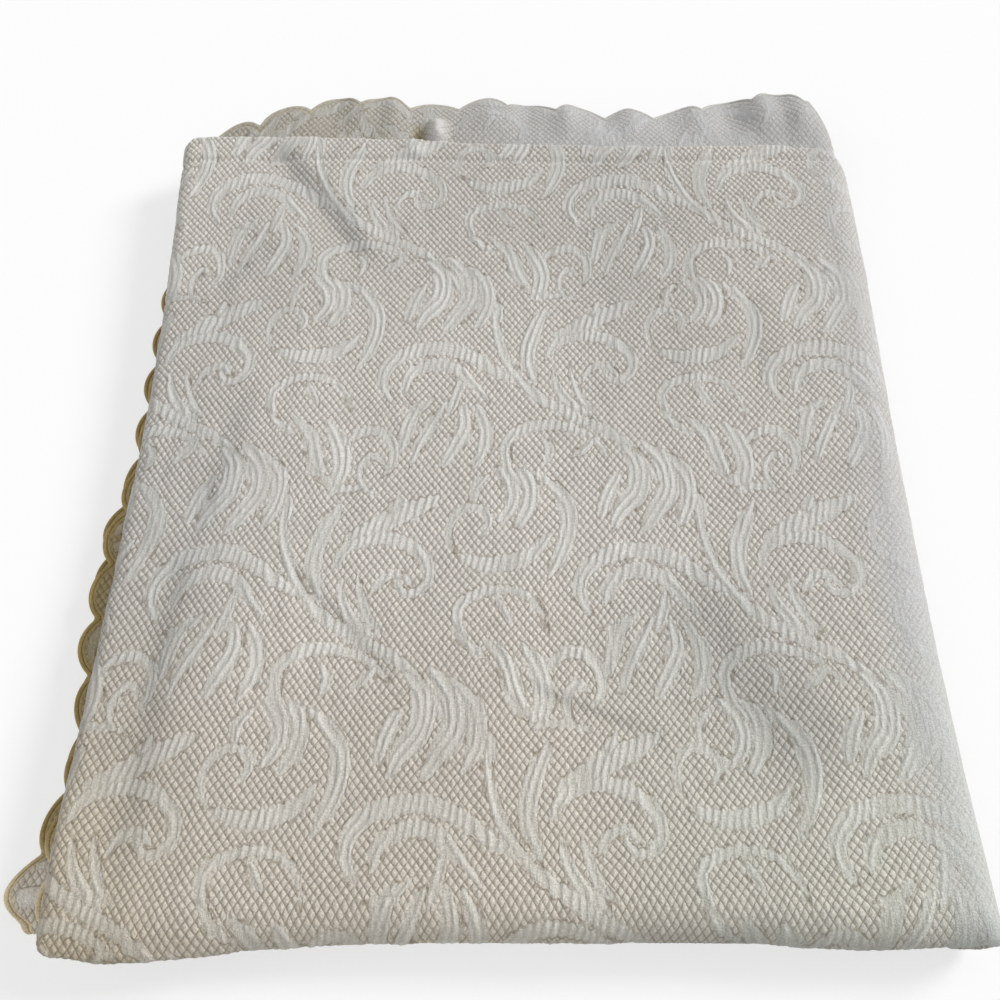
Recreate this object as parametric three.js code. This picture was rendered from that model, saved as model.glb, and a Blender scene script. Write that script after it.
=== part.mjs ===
// A matelasse bedspread with a scalloped hem, folded in quarters across its length and then
// in quarters across its width, lying on a flat surface. Millimetres, +Z up.
// +X is to the right, -Y is the front. The whole spread is one sheet of one thickness.
//
// First fold: the length becomes a "pack" of four layers, with its round wrap at the front and
// its two hems at the back. Second fold: the pack itself is laid in four runs, with its round
// wrap at the right and the side hems at the left.
import * as THREE from 'three';

// ---- Driving dimensions ----
const FOLDED_WIDTH = 612; // a quarter of the 2.45 m wide spread
const CLOTH = 2.2; // thickness of the quilted cloth
const LAYER_GAP = 0.7; // between the layers of a pack
const PACK_GAP = 1.9; // between the runs of the pack
const SCALLOP_PITCH = 46.7; // along the hem
const SCALLOP_DEPTH = 10; // from a notch to a tip
const HEM_STEPS = 4; // straight pieces in one scallop
const INSET = 24; // from the hem to the first row of the sheet inside it

// The top run bends over the front edges of the runs below it.
const ROLL_LENGTH = 24.4;
const ROLL_ANGLE = 1.22;
const LEAST_ANGLE = 0.001; // stands for "straight" where an angle divides
const FLAP_RADIUS = 165; // sag of the hem that overhangs the back
const LOWER_SAG = 1.2; // the lower of the two hems there hangs a little more

// The stack isn't true. Towards its top it swells in a slow wave with a ripple over it, sinks in one
// shallow hollow near the back, flares at the front, draws in at its waist and wanders sideways.
const SWELL = { height: 1.6, lengthX: 92, lengthY: 175, startX: 0.6, startY: 0.4 };
const RIPPLE = { height: 1.2, lengthX: 61, lengthY: -210, start: 1.1 };
const HOLLOW = { depth: 2.2, x: -150, y: 590, radiusX: 70, radiusY: 120 };
const FLARE = { width: 9, length: 260 };
const WAIST = { width: 5, y: 420, length: 190 };
const WANDER = { width: 2.5, y: 330, length: 110 };

const WRAP_STEPS = 4; // straight pieces round the front wrap of the pack
const FOLD_STEPS = 3; // and round its inner folds
const HEM_ROW_GAP = 2; // at least this much between the fold's row and the first row of the hem
const LEAST_EDGE = 1; // shorter pieces are left out of the hem's outline

const LAYER_PITCH = CLOTH + LAYER_GAP;
const PACK = 4 * CLOTH + 3 * LAYER_GAP;
const RUN_PITCH = PACK + PACK_GAP;
const HALF_WIDTH = FOLDED_WIDTH / 2;
const LEFT_CENTRE = -HALF_WIDTH + RUN_PITCH / 2 + PACK / 2;
const RIGHT_CENTRE = HALF_WIDTH - 1.5 * RUN_PITCH - PACK / 2;
const RUN_HEIGHTS = [0, 1, 2, 3].map((run) => PACK / 2 + run * RUN_PITCH);
const STACK = RUN_HEIGHTS[3] + PACK / 2;

// The seven legs of the pack's way, from the bottom run to the second one.
// A run is straight, and a turn goes round (centre, height) from one angle to another.
const QUARTER = Math.PI / 2;
const LEGS = [
  { name: 'bottom run', fromX: -HALF_WIDTH, toX: RIGHT_CENTRE, height: RUN_HEIGHTS[0], up: -1, steps: 5 },
  { name: 'right wrap', centre: RIGHT_CENTRE, height: (RUN_HEIGHTS[1] + RUN_HEIGHTS[2]) / 2,
    radius: 1.5 * RUN_PITCH, from: -QUARTER, to: QUARTER, out: 1, steps: 5 },
  { name: 'top run', fromX: RIGHT_CENTRE, toX: LEFT_CENTRE, height: RUN_HEIGHTS[3], up: 1, steps: 8 },
  { name: 'left fold', centre: LEFT_CENTRE, height: (RUN_HEIGHTS[3] + RUN_HEIGHTS[2]) / 2,
    radius: RUN_PITCH / 2, from: QUARTER, to: 3 * QUARTER, out: 1, steps: 4 },
  { name: 'third run', fromX: LEFT_CENTRE, toX: RIGHT_CENTRE, height: RUN_HEIGHTS[2], up: -1, steps: 3 },
  { name: 'inner fold', centre: RIGHT_CENTRE, height: (RUN_HEIGHTS[1] + RUN_HEIGHTS[2]) / 2,
    radius: RUN_PITCH / 2, from: QUARTER, to: -QUARTER, out: -1, steps: 3 },
  { name: 'second run', fromX: RIGHT_CENTRE, toX: -HALF_WIDTH, height: RUN_HEIGHTS[1], up: 1, steps: 6 },
];

// Where the pack's edges lie along its way. leg: leg number and part of it; front: its front edge;
// back: its back fold; upper and lower: its two hems, beyond the back fold; roll: part of the bend
// at the front; sag: 1 where the hems hang over the back.
const EDGES = [
  { leg: 0.0, front: 14, back: 690, upper: 4, lower: 6, roll: 0, sag: 0 },
  { leg: 1.0, front: 6, back: 688, upper: 6, lower: 4, roll: 0, sag: 0 },
  { leg: 1.5, front: 3, back: 678, upper: 24, lower: 20, roll: 0, sag: 0 },
  { leg: 1.8, front: 2, back: 688, upper: 40, lower: 40, roll: 0, sag: 0.4 },
  { leg: 2.0, front: -1, back: 697, upper: 56, lower: 58, roll: 0.5, sag: 0.8 },
  { leg: 2.12, front: -1, back: 700, upper: 60, lower: 54, roll: 1, sag: 1 },
  { leg: 2.24, front: 3, back: 702, upper: 48, lower: 46, roll: 1, sag: 1 },
  { leg: 2.36, front: 3, back: 703, upper: 46, lower: 44, roll: 1, sag: 1 },
  { leg: 2.5, front: 1, back: 704, upper: 58, lower: 50, roll: 1, sag: 1 },
  { leg: 2.62, front: -2, back: 706, upper: 48, lower: 52, roll: 1, sag: 0.8 },
  { leg: 2.78, front: -6, back: 708, upper: 48, lower: 46, roll: 1, sag: 0.5 },
  { leg: 2.89, front: -11, back: 709, upper: 14, lower: 20, roll: 0.4, sag: 0.3 },
  { leg: 3.0, front: -6, back: 709, upper: -6, lower: -4, roll: 0, sag: 0 },
  { leg: 3.5, front: 3, back: 704, upper: -6, lower: -6, roll: 0, sag: 0 },
  { leg: 4.0, front: 12, back: 699, upper: -4, lower: -2, roll: 0, sag: 0 },
  { leg: 4.2, front: 25, back: 697, upper: 0, lower: 2, roll: 0, sag: 0 },
  { leg: 5.0, front: 24, back: 690, upper: 4, lower: 2, roll: 0, sag: 0 },
  { leg: 6.0, front: 24, back: 688, upper: 6, lower: 4, roll: 0, sag: 0 },
  { leg: 6.33, front: 6, back: 690, upper: 6, lower: 6, roll: 0, sag: 0 },
  { leg: 6.5, front: -2, back: 690, upper: 6, lower: 6, roll: 0, sag: 0 },
  { leg: 6.67, front: 4, back: 691, upper: 5, lower: 6, roll: 0, sag: 0 },
  { leg: 7.0, front: 15, back: 692, upper: 4, lower: 6, roll: 0, sag: 0 },
];

// How far the side hems stand out beyond the left fold, along the depth: of the bottom run and
// of the second run.
const SIDE_HEMS = [
  { y: 0, bottom: 16, second: 6 },
  { y: 36, bottom: 32, second: 10 },
  { y: 66, bottom: 23, second: 9 },
  { y: 105, bottom: 13, second: 4 },
  { y: 150, bottom: 6, second: 5 },
  { y: 230, bottom: 11, second: 13 },
  { y: 310, bottom: 14, second: 9 },
  { y: 380, bottom: 3, second: -2 },
  { y: 480, bottom: 2, second: -5 },
  { y: 720, bottom: -8, second: -12 },
];
const HIDDEN_STEP = 4; // each layer below the showing one ends this much further in

// Rows of the sheet along a layer, from the front: on the bend, then as parts of the flat stretch.
const BEND_ROWS = [0, 0.5, 1];
const FLAT_ROWS = [0.27, 0.52, 0.77];

function lookup(rows, key, at, column) {
  const last = rows.length - 1;
  const next = rows.findIndex((row) => row[key] > at);
  if (next === 0) return rows[0][column];
  if (next < 0) return rows[last][column];
  const before = rows[next - 1];
  const part = (at - before[key]) / (rows[next][key] - before[key]);
  return before[column] + part * (rows[next][column] - before[column]);
}

function edgesAt(leg) {
  const edges = {};
  for (const column of ['front', 'back', 'upper', 'lower', 'roll', 'sag']) {
    edges[column] = lookup(EDGES, 'leg', leg, column);
  }
  return edges;
}

// The middle of the pack at one place on its way, with the direction of the pack's outer side.
function wayAt(leg) {
  const index = Math.min(Math.floor(leg), LEGS.length - 1);
  const part = leg - index;
  const way = LEGS[index];
  if (way.up) {
    return { x: way.fromX + part * (way.toX - way.fromX), z: way.height, outX: 0, outZ: way.up };
  }
  const angle = way.from + part * (way.to - way.from);
  return {
    x: way.centre + way.radius * Math.cos(angle),
    z: way.height + way.radius * Math.sin(angle),
    outX: way.out * Math.cos(angle),
    outZ: way.out * Math.sin(angle),
  };
}

function wayLength(way) {
  if (way.up) return Math.abs(way.toX - way.fromX);
  return way.radius * Math.abs(way.to - way.from);
}

function distanceAt(leg) {
  return LEGS.reduce((sum, way, index) => (
    sum + wayLength(way) * Math.min(Math.max(leg - index, 0), 1)), 0);
}

// The pack's section: points of the cloth's middle line, each with its place along the pack from
// the front wrap's centre, its height in the pack, and the direction across the cloth.
function layerRows(height, flatLength, facing, hem) {
  const rows = BEND_ROWS.map((part) => part * ROLL_LENGTH);
  for (const part of FLAT_ROWS) rows.push(ROLL_LENGTH + part * flatLength);
  rows.push(ROLL_LENGTH + flatLength);
  if (hem !== undefined) {
    const edge = ROLL_LENGTH + flatLength + hem;
    rows[rows.length - 1] = Math.min(rows[rows.length - 1], edge - INSET) - HEM_ROW_GAP;
    rows.push(edge - INSET / 2, edge);
  }
  return rows.map((along) => ({ along, height, acrossAlong: 0, acrossHeight: facing }));
}

function turn(along, middle, radius, direction, steps) {
  const points = [];
  for (let step = 1; step < steps; step += 1) {
    const angle = -QUARTER + (Math.PI * step) / steps;
    const out = direction * Math.cos(angle);
    points.push({
      along: along + radius * out,
      height: middle + radius * Math.sin(angle),
      acrossAlong: out,
      acrossHeight: Math.sin(angle),
    });
  }
  return points;
}

function packSection(edges) {
  const levels = [0, 1, 2, 3].map((layer) => (layer - 1.5) * LAYER_PITCH);
  const angle = Math.max(edges.roll * ROLL_ANGLE, LEAST_ANGLE);
  const radius = ROLL_LENGTH / angle;
  const reach = (radius + PACK / 2) * Math.sin(angle) + (PACK / 2) * Math.cos(angle);
  const bendAt = edges.front + reach;
  const flat = edges.back - bendAt - LAYER_PITCH / 2 - CLOTH / 2;
  const bottom = layerRows(levels[0], flat, -1, edges.lower).reverse();
  for (const point of bottom) point.isLower = true;
  const top = layerRows(levels[3], flat, 1);
  const third = layerRows(levels[2], flat, -1).reverse();
  const second = layerRows(levels[1], flat, 1, edges.upper);
  const backAt = ROLL_LENGTH + flat;
  const wrap = turn(0, 0, 1.5 * LAYER_PITCH, -1, WRAP_STEPS);
  const backFold = turn(backAt, (levels[2] + levels[3]) / 2, LAYER_PITCH / 2, 1, FOLD_STEPS).reverse();
  const innerFold = turn(0, 0, LAYER_PITCH / 2, -1, FOLD_STEPS).reverse();
  for (const point of innerFold) {
    point.acrossAlong *= -1;
    point.acrossHeight *= -1;
  }
  const points = [...bottom, ...wrap, ...top, ...backFold, ...third, ...innerFold, ...second];
  return { points, angle, radius, bendAt, backAt };
}

// A point of the section, half a cloth out on one side, bent at the front and hanging at the back.
function bentPoint(section, edges, point, side, extraHem) {
  const half = (side * CLOTH) / 2;
  const along = point.along + half * point.acrossAlong + extraHem;
  const height = point.height + half * point.acrossHeight;
  if (along < ROLL_LENGTH) {
    const angle = section.angle * (1 - along / ROLL_LENGTH);
    const radius = section.radius + height;
    return { y: section.bendAt - radius * Math.sin(angle), out: height - radius * (1 - Math.cos(angle)) };
  }
  const over = along - section.backAt;
  if (over > 0 && edges.sag > 0) {
    const sag = edges.sag * (point.isLower ? LOWER_SAG : 1);
    const angle = (sag * over) / FLAP_RADIUS;
    const radius = FLAP_RADIUS / sag;
    const swing = radius + height;
    return {
      y: section.bendAt + section.backAt - ROLL_LENGTH + swing * Math.sin(angle),
      out: height - swing * (1 - Math.cos(angle)),
    };
  }
  return { y: section.bendAt + along - ROLL_LENGTH, out: height };
}

const bell = (distance, radius) => Math.exp(-((distance / radius) ** 2));

// Moves a point of the true stack to where it lies in the settled one.
function settle(point) {
  const lift = point.z / STACK;
  const outward = point.x / HALF_WIDTH;
  const swell = SWELL.height * Math.sin(point.x / SWELL.lengthX + SWELL.startX)
    * Math.sin(point.y / SWELL.lengthY + SWELL.startY);
  const ripple = RIPPLE.height
    * Math.sin(point.x / RIPPLE.lengthX + point.y / RIPPLE.lengthY + RIPPLE.start);
  const hollow = HOLLOW.depth * bell(point.x - HOLLOW.x, HOLLOW.radiusX)
    * bell(point.y - HOLLOW.y, HOLLOW.radiusY);
  const flare = FLARE.width * outward * Math.max(0, 1 - point.y / FLARE.length) ** 2;
  const waist = WAIST.width * outward * bell(point.y - WAIST.y, WAIST.length);
  const wander = WANDER.width * Math.sin((point.y - WANDER.y) / WANDER.length);
  const x = point.x + lift * (flare - waist + wander);
  return new THREE.Vector3(x, point.y, point.z + lift * (swell + ripple - hollow));
}

function stationAt(leg) {
  const edges = edgesAt(leg);
  const isHem = leg === 0 || leg === LEGS.length;
  return { leg, edges, isHem, distance: distanceAt(leg), place: wayAt(leg), section: packSection(edges) };
}

function buildStations() {
  const places = [0];
  LEGS.forEach((way, index) => {
    for (let step = 1; step <= way.steps; step += 1) places.push(index + step / way.steps);
  });
  // The first and last places are the side hems, so a row goes in just inside each of them.
  places.splice(1, 0, INSET / wayLength(LEGS[0]));
  places.splice(places.length - 1, 0, LEGS.length - INSET / wayLength(LEGS[LEGS.length - 1]));
  return places.map(stationAt);
}

// How far out a side hem lies, by the layer of the pack that the section's index is on.
function sideHem(station, y, index) {
  const count = station.section.points.length;
  const column = station.leg < 1 ? 'bottom' : 'second';
  const shown = lookup(SIDE_HEMS, 'y', y, column);
  const layer = Math.floor((4 * index) / count);
  const below = column === 'bottom' ? layer : Math.abs(layer - 1);
  return shown - HIDDEN_STEP * below;
}

// One vertex of the sheet: a station, a point of its section and a side of the cloth, moved
// further back where the section ends.
function vertex(station, index, side, extraHem) {
  const { points } = station.section;
  const hem = index === 0 || index === points.length - 1 ? extraHem : 0;
  const bent = bentPoint(station.section, station.edges, points[index], side, hem);
  return new THREE.Vector3(
    station.place.x + station.place.outX * bent.out,
    bent.y,
    station.place.z + station.place.outZ * bent.out,
  );
}

// A place on the outline: on a back hem between two stations, or on a side hem between two
// points of its section. It lies on the straight line between them, as the sheet inside it does.
function onBackHem(stations, index, side, row, extra) {
  const low = Math.min(Math.floor(row), stations.length - 2);
  const [from, to] = [stations[low], stations[low + 1]].map((station) => {
    const point = vertex(station, index, side, extra);
    const settled = settle(point);
    if (station.isHem) settled.x -= sideHem(station, point.y, index);
    return settled;
  });
  return from.lerp(to, row - low);
}

function onSideHem(station, column, side, extra) {
  const low = Math.min(Math.floor(column), station.section.points.length - 2);
  const [from, to] = [low, low + 1].map((index) => vertex(station, index, side, 0));
  const y = from.y + (to.y - from.y) * (column - low);
  const settled = settle(from).lerp(settle(to), column - low);
  settled.x -= sideHem(station, y, Math.round(column)) + extra;
  return settled;
}

function scallop(distance, pitch) {
  const fromMiddle = (distance % pitch) - pitch / 2;
  const radius = ((pitch * pitch) / 4 + SCALLOP_DEPTH ** 2) / (2 * SCALLOP_DEPTH);
  return Math.sqrt(radius * radius - fromMiddle * fromMiddle) - (radius - SCALLOP_DEPTH);
}

// Places along a hem: at each row of the sheet that ends there, and at even steps between them.
// "row" counts the sheet's rows, with the part of the way to the next one.
function hemPlaces(ends, step) {
  const places = ends.map((distance, row) => ({ distance, row }));
  const total = ends[ends.length - 1];
  for (let distance = step.start; distance < total - LEAST_EDGE; distance += step.pitch) {
    const next = ends.findIndex((end) => end > distance);
    const span = ends[next] - ends[next - 1];
    const part = (distance - ends[next - 1]) / span;
    if (Math.min(part, 1 - part) * span > LEAST_EDGE) places.push({ distance, row: next - 1 + part });
  }
  return places.sort((first, second) => first.distance - second.distance);
}

// Whether a quad is split from its low corner: layers that face each other are split alike, so
// that a twisted quad bends both of them the same way.
function runsUp(positions, corners) {
  const [start, nextRow, , nextColumn] = corners.map(([index]) => positions.slice(3 * index, 3 * index + 3));
  const acrossX = nextRow[0] - start[0];
  const acrossZ = nextRow[2] - start[2];
  const across = Math.abs(acrossX) > Math.abs(acrossZ) ? acrossX : acrossZ;
  const alongY = nextColumn[1] - start[1];
  const alongZ = nextColumn[2] - start[2];
  const along = Math.abs(alongY) > Math.abs(alongZ) ? alongY : alongZ;
  return across * along > 0;
}

// The sheet as triangles. Every place on it is a pair of vertices, one on each side of the cloth.
function buildSheet() {
  const stations = buildStations();
  const section = stations[0].section.points;
  const lastRow = stations.length - 1;
  const lastColumn = section.length - 1;
  const positions = [];
  const triangles = [];
  const addPair = (pointOn) => [1, -1].map((side) => {
    const point = pointOn(side);
    positions.push(point.x, point.y, point.z);
    return positions.length / 3 - 1;
  });
  const face = (a, b, c) => {
    triangles.push(a[0], c[0], b[0]);
    triangles.push(a[1], b[1], c[1]);
  };

  const grid = stations.map((station, row) => section.map((unused, column) => {
    const isInside = row > 0 && row < lastRow && column > 0 && column < lastColumn;
    return isInside ? addPair((side) => settle(vertex(station, column, side, 0))) : null;
  }));
  for (let row = 2; row < lastRow - 2; row += 1) {
    for (let column = 2; column < lastColumn - 2; column += 1) {
      const [near, far] = [grid[row], grid[row + 1]];
      const quad = [near[column], far[column], far[column + 1], near[column + 1]];
      const first = runsUp(positions, quad) ? 0 : 1;
      const [a, b, c, d] = [0, 1, 2, 3].map((step) => quad[(first + step) % 4]);
      face(a, b, c);
      face(a, c, d);
    }
  }

  // A strip between two lines that run the same way along a hem.
  const stitch = (outer, inner, turned) => {
    const add = (a, b, c) => (turned ? face(a, c, b) : face(a, b, c));
    let [atOuter, atInner] = [0, 0];
    while (atOuter < outer.length - 1 || atInner < inner.length - 1) {
      const outerNext = outer[atOuter + 1];
      const innerNext = inner[atInner + 1];
      const outerMiddle = outerNext ? outer[atOuter].distance + outerNext.distance : Infinity;
      const innerMiddle = innerNext ? inner[atInner].distance + innerNext.distance : Infinity;
      if (outerMiddle <= innerMiddle) {
        add(outer[atOuter].pair, outerNext.pair, inner[atInner].pair);
        atOuter += 1;
      } else {
        add(outer[atOuter].pair, innerNext.pair, inner[atInner].pair);
        atInner += 1;
      }
    }
  };

  const rowDistances = stations.map((station) => station.distance);
  const columnDistances = [0];
  section.slice(1).forEach((point, column) => {
    const step = Math.hypot(point.along - section[column].along, point.height - section[column].height);
    columnDistances.push(columnDistances[column] + step);
  });
  const corners = new Map();
  const hems = [
    { ends: rowDistances, inside: (row, depth) => grid[row][depth], turned: false,
      corner: (row) => `${row} 0`,
      edge: (side, row, extra) => onBackHem(stations, 0, side, row, extra) },
    { ends: rowDistances, inside: (row, depth) => grid[row][lastColumn - depth], turned: true,
      corner: (row) => `${row} ${lastColumn}`,
      edge: (side, row, extra) => onBackHem(stations, lastColumn, side, row, extra) },
    { ends: columnDistances, inside: (column, depth) => grid[depth][column], turned: true,
      corner: (column) => `0 ${column}`,
      edge: (side, column, extra) => onSideHem(stations[0], column, side, extra) },
    { ends: columnDistances, inside: (column, depth) => grid[lastRow - depth][column], turned: false,
      corner: (column) => `${lastRow} ${column}`,
      edge: (side, column, extra) => onSideHem(stations[lastRow], column, side, extra) },
  ];
  for (const hem of hems) {
    const last = hem.ends.length - 1;
    const total = hem.ends[last];
    const pitch = total / Math.round(total / SCALLOP_PITCH);
    const outline = hemPlaces(hem.ends, { start: pitch / HEM_STEPS, pitch: pitch / HEM_STEPS });
    for (const place of outline) {
      const isCorner = place.row === 0 || place.row === last;
      const key = isCorner ? hem.corner(place.row) : '';
      const extra = isCorner ? 0 : scallop(place.distance, pitch);
      place.pair = corners.get(key) ?? addPair((side) => hem.edge(side, place.row, extra));
      if (isCorner) corners.set(key, place.pair);
    }
    const inner = hem.ends.map((distance, row) => ({ distance, row })).slice(1, -1);
    const ring = hemPlaces(hem.ends, { start: pitch / 2, pitch })
      .filter(({ row }) => row >= 1 && row <= last - 1);
    for (const place of ring) {
      const low = Math.floor(place.row);
      const part = place.row - low;
      const read = (index) => new THREE.Vector3().fromArray(positions, 3 * index);
      const between = (side) => read(hem.inside(low, 1)[side]).lerp(read(hem.inside(low + 1, 1)[side]), part);
      place.pair = part === 0 ? hem.inside(low, 1) : addPair((side) => between(side > 0 ? 0 : 1));
    }
    const second = inner.slice(1, -1).map(({ distance, row }) => ({ distance, pair: hem.inside(row, 2) }));
    stitch(outline, ring, hem.turned);
    stitch(ring, second, hem.turned);

    // The cut edge of the cloth.
    outline.slice(1).forEach((next, index) => {
      const [a, b] = hem.turned ? [next.pair, outline[index].pair] : [outline[index].pair, next.pair];
      triangles.push(a[0], b[1], a[1]);
      triangles.push(a[0], b[0], b[1]);
    });
  }
  return { positions, triangles };
}

function toGeometry({ positions, triangles }) {
  const geometry = new THREE.BufferGeometry();
  geometry.setAttribute('position', new THREE.Float32BufferAttribute(positions, 3));
  geometry.setIndex(triangles);
  geometry.computeBoundingBox();
  const box = geometry.boundingBox;
  geometry.translate(-(box.min.x + box.max.x) / 2, -(box.min.y + box.max.y) / 2, -box.min.z);
  return geometry;
}

const ivoryCotton = new THREE.MeshStandardMaterial({ color: 0xc4beb3, roughness: 0.92, metalness: 0 });

const spread = new THREE.Mesh(toGeometry(buildSheet()), ivoryCotton);
spread.name = 'bedspread_sheet';

const bedspread = new THREE.Group();
bedspread.add(spread);

export default bedspread;
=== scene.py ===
"""A matelasse bedspread, folded in quarters both ways, as a dressed scene around its CAD frame.

Lengths are millimetres in the tables and metres in Blender. A place is given by the pack's way
(leg) and its section (along, height), and in the flat cloth by (across, down).
"""
import math
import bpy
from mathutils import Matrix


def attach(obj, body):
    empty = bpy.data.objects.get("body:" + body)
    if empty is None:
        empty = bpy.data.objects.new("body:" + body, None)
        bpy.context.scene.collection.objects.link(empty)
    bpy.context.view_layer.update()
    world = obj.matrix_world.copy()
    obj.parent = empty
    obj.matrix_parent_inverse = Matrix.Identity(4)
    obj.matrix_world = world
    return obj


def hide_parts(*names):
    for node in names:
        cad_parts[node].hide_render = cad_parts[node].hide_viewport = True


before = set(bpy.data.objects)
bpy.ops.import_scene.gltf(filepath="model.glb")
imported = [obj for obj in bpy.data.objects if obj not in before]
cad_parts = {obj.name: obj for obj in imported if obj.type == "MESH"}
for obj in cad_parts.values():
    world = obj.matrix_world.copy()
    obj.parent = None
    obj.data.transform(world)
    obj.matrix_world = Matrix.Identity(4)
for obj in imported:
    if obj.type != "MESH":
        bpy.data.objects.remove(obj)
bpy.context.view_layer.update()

from types import SimpleNamespace as Named

import bpy
import numpy as np

MM = 0.001
NODE = "bedspread_sheet"
BODY = "root"

# ---- The folded stack: the CAD sheet's own sizes ----
FOLDED_WIDTH = 612
FOLDED_DEPTH = 700
CLOTH = 2.2
LAYER_PITCH = CLOTH + 0.7
PACK = 4 * LAYER_PITCH - 0.7
RUN_PITCH = PACK + 1.9
SCALLOP_PITCH = 46.7
SCALLOP_DEPTH = 10
ROLL = 24.4  # the length of cloth in the bend at the front
ROLL_ANGLE = 1.22
FLAP_RADIUS = 165
HALF_WIDTH = FOLDED_WIDTH / 2
LEFT_TURN = -HALF_WIDTH + RUN_PITCH / 2 + PACK / 2
RIGHT_TURN = HALF_WIDTH - 1.5 * RUN_PITCH - PACK / 2
RUN_HEIGHTS = [PACK / 2 + run * RUN_PITCH for run in range(4)]
STACK = RUN_HEIGHTS[3] + PACK / 2
WRAP_RADIUS = 1.5 * LAYER_PITCH  # of the cloth's middle, round the front of a pack
FOLD_RADIUS = 0.5 * LAYER_PITCH  # and round its inner folds

# The stack's own origin, at the middle of its front edge, in the part's frame.
STACK_X = 17.31
STACK_Y = -378.57

# The way of the pack's middle through the stack, seen from the front: four runs and three turns.
QUARTER = math.pi / 2


def run(start, end, number, up):
    return Named(kind="run", start=start, end=end, height=RUN_HEIGHTS[number], up=up, radius=1)


def turn(centre, level, runs, start, end, out):
    return Named(kind="turn", centre=centre, height=RUN_HEIGHTS[0] + level * RUN_PITCH,
                 radius=runs / 2 * RUN_PITCH, start=start, end=end, out=out)


LEGS = [
    run(-HALF_WIDTH, RIGHT_TURN, 0, -1),
    turn(RIGHT_TURN, 1.5, 3, -QUARTER, QUARTER, 1),
    run(RIGHT_TURN, LEFT_TURN, 3, 1),
    turn(LEFT_TURN, 2.5, 1, QUARTER, 3 * QUARTER, 1),
    run(LEFT_TURN, RIGHT_TURN, 2, -1),
    turn(RIGHT_TURN, 1.5, 1, QUARTER, -QUARTER, -1),
    run(RIGHT_TURN, -HALF_WIDTH, 1, 1),
]
LAST_LEG = len(LEGS)

# The pack's edges along its way: the leg, the front, the back fold, the upper and the lower hem
# beyond it, how round the front is rolled, and how far the hems sag.
EDGES = [
    (0.0, 14, 690, 4, 6, 0, 0),
    (1.0, 6, 688, 6, 4, 0, 0),
    (1.5, 3, 678, 24, 20, 0, 0),
    (1.8, 2, 690, 46, 40, 0, 0.4),
    (2.0, -1, 699, 66, 58, 0.5, 0.7),
    (2.12, -1, 702, 74, 54, 1, 0.7),
    (2.24, 3, 703, 58, 46, 1, 0.9),
    (2.36, 3, 705, 61, 48, 1, 0.9),
    (2.5, 3, 706, 76, 54, 1, 0.9),
    (2.62, 3, 708, 58, 52, 1, 0.8),
    (2.78, -1, 711, 58, 46, 1, 0.5),
    (2.85, -7, 712, 36, 32, 0.7, 0.4),
    (2.93, -11, 713, 14, 12, 0.4, 0.2),
    (3.0, -6, 714, -6, -4, 0.1, 0),
    (3.2, -4, 711, -6, -6, 0, 0),
    (3.5, 6, 704, -6, -6, 0, 0),
    (4.0, 12, 699, -4, -2, 0, 0),
    (4.2, 25, 697, 0, 2, 0, 0),
    (5.0, 24, 690, 4, 2, 0, 0),
    (6.0, 24, 688, 6, 4, 0, 0),
    (6.33, 13, 690, 6, 6, 0, 0),
    (6.5, 7, 690, 6, 6, 0, 0),
    (6.67, 10, 691, 5, 6, 0, 0),
    (7.0, 15, 692, 4, 6, 0, 0),
]
# How far the side hems of the bottom and the second run stand out, at places from the front.
SIDE_HEMS = [
    (0, 14, 0), (36, 33, 4), (66, 22, 6), (105, 12, 2), (150, 6, 3), (230, 10, 12),
    (310, 14, 9), (380, 3, -2), (480, 2, -5), (720, -8, -12),
]
HIDDEN_STEP = 9  # each hidden layer stands out this much less

# How the resting stack departs from a plain one.
SWELL = Named(height=1.6, length_x=92, length_y=175, start_x=0.6, start_y=0.4)
RIPPLE = Named(height=1.2, length_x=61, length_y=-210, start=1.1)
HOLLOW = Named(depth=2.2, x=-150, y=590, radius_x=70, radius_y=120)
FLARE = Named(width=9, length=260)
WAIST = Named(width=5, y=420, length=190)
WANDER = Named(width=2.5, y=330, length=110)
# Soft corners: where, how far down, and how wide.
DROOPS = [(-308, -4, 8, 34), (292, 712, 2, 30), (318, -4, 5, 30)]
FULLNESS = Named(width=5, start=180, front=1.3, length=1000)
SHOULDER = Named(down=9, start=-212, end=-HALF_WIDTH - 6, y=330, length=250)


def smooth_lookup(rows, column, at):
    """A smooth curve through a column of a table, without overshoot. The first column is the place."""
    keys, values = np.array(rows, float)[:, [0, column]].T
    slopes = np.diff(values) / np.diff(keys)
    product = slopes[1:] * slopes[:-1]
    total = np.where(product > 0, slopes[1:] + slopes[:-1], 1)
    inner = np.where(product > 0, 2 * product / total, 0)
    tangents = np.concatenate([slopes[:1], inner, slopes[-1:]])
    low = np.clip(np.searchsorted(keys, at, side="right") - 1, 0, len(keys) - 2)
    span = keys[low + 1] - keys[low]
    part = np.clip((at - keys[low]) / span, 0, 1)
    rise = part * part * (3 - 2 * part)
    return (values[low] + (values[low + 1] - values[low]) * rise
            + span * part * (1 - part) * ((1 - part) * tangents[low] - part * tangents[low + 1]))


def bell(distance, radius):
    return np.exp(-(distance / radius) ** 2)


def fade(low, high, value):
    part = np.clip((value - low) / (high - low), 0, 1)
    return part * part * (3 - 2 * part)


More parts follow.
